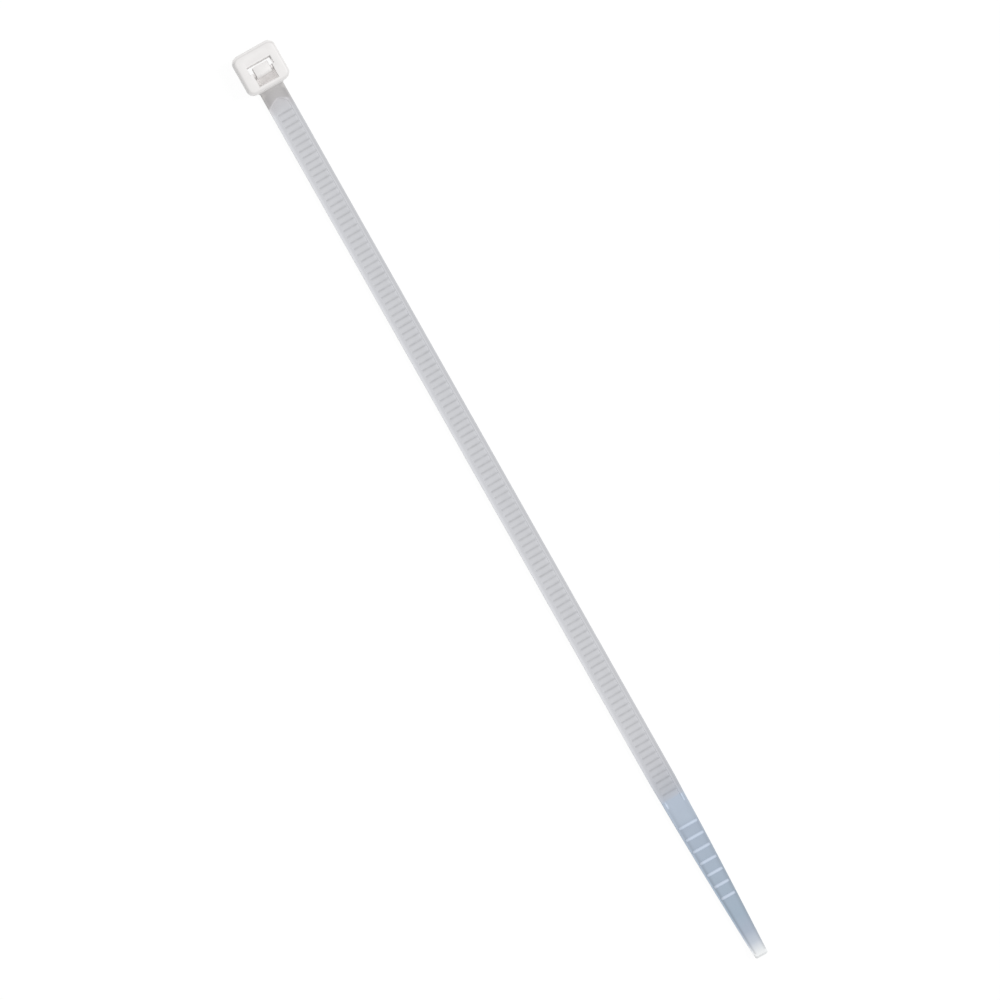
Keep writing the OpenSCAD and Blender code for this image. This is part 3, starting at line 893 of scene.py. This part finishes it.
studio = {
    "sunStrength": 1.1,
    "sunHeight": math.radians(55),
    "sunTurn": math.radians(8),
    "sunAngle": math.radians(20),
    "skyLight": 0.71,
    "floorSize": 3,            # m, half its side
    "floorDrop": 0.00002,      # m, so that it never shares a plane with the tie
    "floorWhite": 1.02,
    "floorBounce": "#C4C4C4",
    "shadowShare": 0.08,
}


def layFloor():
    # Plain pale floor: white to the camera with a faint shadow, greyer in the light that it returns
    bm = bmesh.new()
    bmesh.ops.create_grid(bm, x_segments=1, y_segments=1, size=studio["floorSize"])
    floor = newPiece("floor", bm)
    floor.location.z = -studio["floorDrop"]
    material = bpy.data.materials.new("pale studio floor")
    material.use_nodes = True
    tree = material.node_tree
    tree.nodes.clear()
    path = addNode(tree, "ShaderNodeLightPath", {}, {})
    mirrored = addNode(tree, "ShaderNodeMath", {"operation": "ADD"},
                       {0: path.outputs["Is Glossy Ray"], 1: path.outputs["Is Transmission Ray"]})
    seen = addNode(tree, "ShaderNodeMath", {"operation": "ADD", "use_clamp": True},
                   {0: path.outputs["Is Camera Ray"], 1: mirrored.outputs[0]})
    glow = addNode(tree, "ShaderNodeEmission", {}, {"Color": (1, 1, 1, 1), "Strength": studio["floorWhite"]})
    shaded = addNode(tree, "ShaderNodeBsdfDiffuse", {}, {"Color": (1, 1, 1, 1)})
    white = addNode(tree, "ShaderNodeMixShader", {},
                    {0: studio["shadowShare"], 1: glow.outputs[0], 2: shaded.outputs[0]})
    dull = addNode(tree, "ShaderNodeBsdfDiffuse", {}, {"Color": toLinear(studio["floorBounce"])})
    both = addNode(tree, "ShaderNodeMixShader", {},
                   {0: seen.outputs[0], 1: dull.outputs[0], 2: white.outputs[0]})
    addNode(tree, "ShaderNodeOutputMaterial", {}, {"Surface": both.outputs[0]})
    floor.data.materials.append(material)


def lightStudio():
    sun = bpy.data.lights.new("key light", "SUN")
    sun.energy = studio["sunStrength"]
    sun.angle = studio["sunAngle"]
    lamp = bpy.data.objects.new("key light", sun)
    height, turn = studio["sunHeight"], studio["sunTurn"]
    toward = Vector((math.cos(height) * math.sin(turn), math.cos(height) * math.cos(turn), math.sin(height)))
    lamp.rotation_euler = toward.to_track_quat("Z", "Y").to_euler()
    bpy.context.scene.collection.objects.link(lamp)

    world = bpy.data.worlds.new("soft sky")
    bpy.context.scene.world = world
    world.use_nodes = True
    tree = world.node_tree
    tree.nodes.clear()
    path = addNode(tree, "ShaderNodeLightPath", {}, {})
    sky = addNode(tree, "ShaderNodeBackground", {}, {"Color": (1, 1, 1, 1), "Strength": studio["skyLight"]})
    backdrop = addNode(tree, "ShaderNodeBackground", {}, {"Color": (1, 1, 1, 1), "Strength": 1.0})
    both = addNode(tree, "ShaderNodeMixShader", {},
                   {0: path.outputs["Is Camera Ray"], 1: sky.outputs[0], 2: backdrop.outputs[0]})
    addNode(tree, "ShaderNodeOutputWorld", {}, {"Surface": both.outputs[0]})


photo = {
    "centre": (90.38, -0.67, 0.65),        # mm, what the middle of the photograph shows
    "width": 182.2,                        # mm across the photograph
    "lean": math.radians(3.2),             # the view leans toward -Y by this much
    "xAlongRight": 0.4922,                 # how far +X runs to the right, the rest is down
    "lens": 1000,                          # long, so that upright walls stay out of sight
    "sensor": 36,
    "nearest": 0.1,                        # m, what the camera sees starts and ends here
    "farthest": 50,
}


def placeCamera():
    data = bpy.data.cameras.new("camera")
    data.lens = photo["lens"]
    data.sensor_width = photo["sensor"]
    camera = bpy.data.objects.new("camera", data)
    back = Vector((0, -math.sin(photo["lean"]), math.cos(photo["lean"])))
    tieX = Vector((1, 0, 0))
    tieY = back.cross(tieX)
    across = photo["xAlongRight"]
    down = math.sqrt(1 - across ** 2)
    right = across * tieX + down * tieY
    up = across * tieY - down * tieX
    distance = photo["width"] * photo["lens"] / photo["sensor"]
    spot = (Vector(photo["centre"]) + distance * back) * millimetre
    turned = Matrix((right, up, back)).transposed().to_4x4()
    camera.matrix_world = Matrix.Translation(spot) @ turned
    data.clip_start = photo["nearest"]
    data.clip_end = photo["farthest"]
    bpy.context.scene.collection.objects.link(camera)
    bpy.context.scene.camera = camera


print("floor, light and camera")
layFloor()
lightStudio()
placeCamera()
bpy.context.scene.view_settings.view_transform = "Standard"
